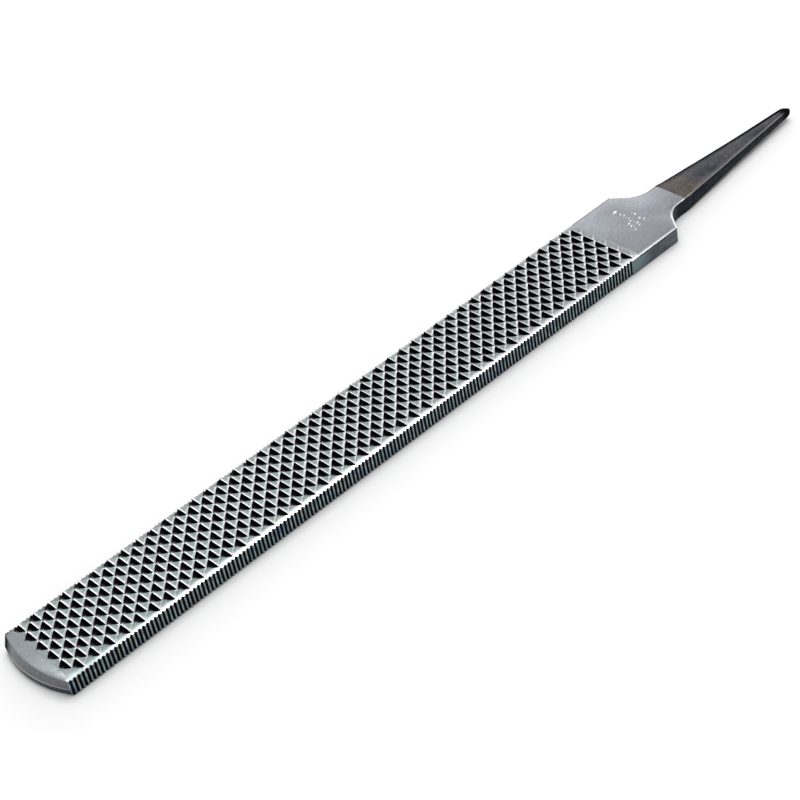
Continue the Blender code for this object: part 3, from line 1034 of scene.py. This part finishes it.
def edge_steel():
    """Milled edges: ridges of blued steel between troughs blackened as oxide and painted shade, with painted
    shade darkest right under the rim.
    """
    surface = Surface("edge_steel")
    groove = surface.attribute("groove")
    patch = surface.noise((1.2, 1.6, 2.4), 3, 1.7)
    fine = surface.noise((0.3, 0.3, 2.2), 3, 8.3, 0.65)
    ridge = surface.mix(surface.span(patch, 0.38, 0.66), (0.17, 0.25, 0.27), (0.42, 0.52, 0.53))
    ridge = surface.mix(surface.span(fine, 0.55, 0.8, 0.0, 0.5), ridge, (0.08, 0.10, 0.11))
    tint = surface.noise((6, 1.5, 6), 2, 12.4)
    ridge = surface.mix(surface.span(tint, 0.5, 0.66, 0.0, 0.8), ridge, (0.20, 0.19, 0.15))
    ridge = surface.mix(surface.span(tint, 0.5, 0.36, 0.0, 0.8), ridge, (0.10, 0.16, 0.26))
    ridge = surface.mix(surface.along("Y", GROOVE_END - 0.3, GROOVE_END + 0.1), ridge, EDGE_TEAL)
    # painted shade right under the rim
    ridge = surface.mix(surface.along("Z", 6.9, 7.5), ridge, (0.09, 0.11, 0.12))
    # troughs black, partly oxide and partly painted shade
    colour = surface.mix(surface.span(groove, 0.02, 0.3), ridge, (0.003, 0.003, 0.005))
    roughness = surface.span(fine, 0.3, 0.7, 0.34, 0.5)
    return surface.finish(colour, roughness, surface.bump(fine, 0.02))


def plain_edge_steel():
    """Uncut sides of the heel: dark blue-grey with fine upright scratches, painted shade towards the top and
    black painted shade in the fillets.
    """
    surface = Surface("plain_edge_steel")
    patch = surface.noise((3, 5, 2), 3, 1.7)
    fine = surface.noise((0.35, 0.35, 1.6), 3, 8.3, 0.65)
    colour = surface.mix(surface.span(patch, 0.35, 0.68), (0.055, 0.075, 0.09), (0.12, 0.14, 0.155))
    colour = surface.mix(surface.span(fine, 0.5, 0.75, 0.0, 0.5), colour, (0.05, 0.06, 0.07))
    colour = surface.mix(surface.along("Y", Y_HEEL + 8, Y_HEEL), colour, EDGE_TEAL)
    # painted shade towards the top
    colour = surface.mix(surface.along("Z", 6.2, 7.5), colour, (0.035, 0.045, 0.055))
    # black painted shade in the fillets
    colour = surface.mix(surface.along("Y", Y_ROOT - 13, Y_ROOT - 9), colour, (0.008, 0.009, 0.012))
    roughness = surface.span(fine, 0.3, 0.7, 0.32, 0.46)
    return surface.finish(colour, roughness, surface.bump(fine, 0.012))


def tang_scale():
    """Forged and tempered tang: dark scale clouded blue and brown, with a brown temper band at the root,
    painted shade on its sides and left bevel, and a painted highlight along its right top corner.
    """
    surface = Surface("tang_scale", 0.9)
    cloud = surface.noise((5, 9, 5), 4, 2.3, 0.6)
    spot = surface.noise((1.6, 2.6, 1.6), 3, 6.1, 0.6)
    pit = surface.noise((1.0, 1.4, 1.0), 5, 9.4, 0.7)
    colour = surface.mix(surface.span(cloud, 0.4, 0.6), (0.024, 0.034, 0.046), (0.080, 0.080, 0.090))
    colour = surface.mix(surface.span(spot, 0.5, 0.64, 0.0, 0.75), colour, (0.060, 0.044, 0.040))
    band_end = surface.along("Y", Y_ROOT + 14, Y_ROOT + 12)
    band = surface.both(surface.along("Y", Y_ROOT - 1.5, Y_ROOT + 1), band_end)
    wander = surface.span(cloud, 0.3, 0.7, 0.35, 0.9)
    colour = surface.mix(surface.both(band, wander), colour, (0.115, 0.09, 0.07))
    colour = surface.mix(surface.span(pit, 0.42, 0.64, 0.0, 0.7), colour, (0.018, 0.019, 0.026))
    # painted shade on the upright sides
    side = surface.mix(surface.span(spot, 0.45, 0.66), (0.005, 0.006, 0.009), (0.014, 0.026, 0.034))
    colour = surface.mix(surface.upright(), colour, side)
    # painted highlight along the right top corner
    corner_highlight = surface.both(surface.facing("X", 0.15, 0.4), surface.facing("Z", 0.35, 0.55))
    colour = surface.mix(corner_highlight, colour, (0.26, 0.235, 0.24))
    # painted shade on the left bevel, and black towards the end
    bevel = surface.both(surface.facing("X", -0.1, -0.2), surface.facing("Z", 0.2, 0.4))
    surface.blacken(surface.either(bevel, surface.along("Y", Y_END - 8.0, Y_END - 4.5)))
    roughness = surface.span(cloud, 0.3, 0.7, 0.34, 0.5)
    normal = surface.bump(pit, 0.05, surface.bump(cloud, 0.12))
    return surface.finish(colour, roughness, normal)


def file_steel():
    """File cut: bright tooth tips over valleys darkened by painted shade."""
    surface = Surface("file_steel")
    colour, roughness, normal = steel_base(surface, (0.52, 0.53, 0.54), (0.38, 0.39, 0.40))
    # painted shade in the valleys
    colour = surface.mix(surface.along("Z", 0.06, 0.26), colour, (0.085, 0.09, 0.095))
    return surface.finish(colour, roughness, normal)


def core_steel():
    """Unseen heart of the bar: dull steel with a coarse grain."""
    surface = Surface("core_steel")
    grain = surface.noise((1.1, 1.6, 1.1), 4, 4.4)
    colour = surface.mix(surface.span(grain, 0.3, 0.7), (0.26, 0.265, 0.27), (0.40, 0.405, 0.41))
    return surface.finish(colour, surface.span(grain, 0.3, 0.7, 0.42, 0.58), surface.bump(grain, 0.03))


def main():
    """Sets up the studio and gives every zone its finer form. The unseen core only gets its material."""
    bpy.context.scene.view_settings.view_transform = "Standard"
    target = (-0.0032, -0.0301, 0.0)
    add_camera(target, azimuth=53.85, elevation=39.15, roll=-11.64, distance=0.8606, lens=91.65)
    add_floor(reach=4.0, below=0.0002)
    set_world(above=0.6, horizon=1.0)
    add_area("behind", (-0.64, 0.70, 0.33), distance=6.0, size=(6.4, 3.2), power=82)
    add_area("overhead", (-0.10, 0.22, 0.97), distance=5.0, size=(4.4, 3.1), power=165)

    ground, cut, edge, plain = ground_steel(), rasp_steel(), edge_steel(), plain_edge_steel()
    for obj, node, slot, material, side in (
        (make_rasp_face(), "rasp_face", "rasp_face_steel", cut, edge),
        (make_edge(-1, "left_edge_grooves"), "left_edge", "edge_steel", edge, edge),
        (make_edge(1, "right_edge_grooves"), "right_edge", "edge_steel", edge, edge),
        (make_file_face(), "file_face", "file_face_steel", file_steel(), edge),
        (make_point(), "point", "ground_steel", ground, edge),
        (make_heel(), "heel", "ground_steel", ground, plain),
        (make_tang(), "tang", "tang_steel", tang_scale(), None),
    ):
        obj.data.materials.append(material)
        if side is not None:
            finish_edges(obj, side, 0 if node == "heel" else HALF - 1)
        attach(obj, "root")
        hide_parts(node)
    core = core_steel()
    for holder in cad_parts["blade_core"].material_slots:
        holder.material = core


main()
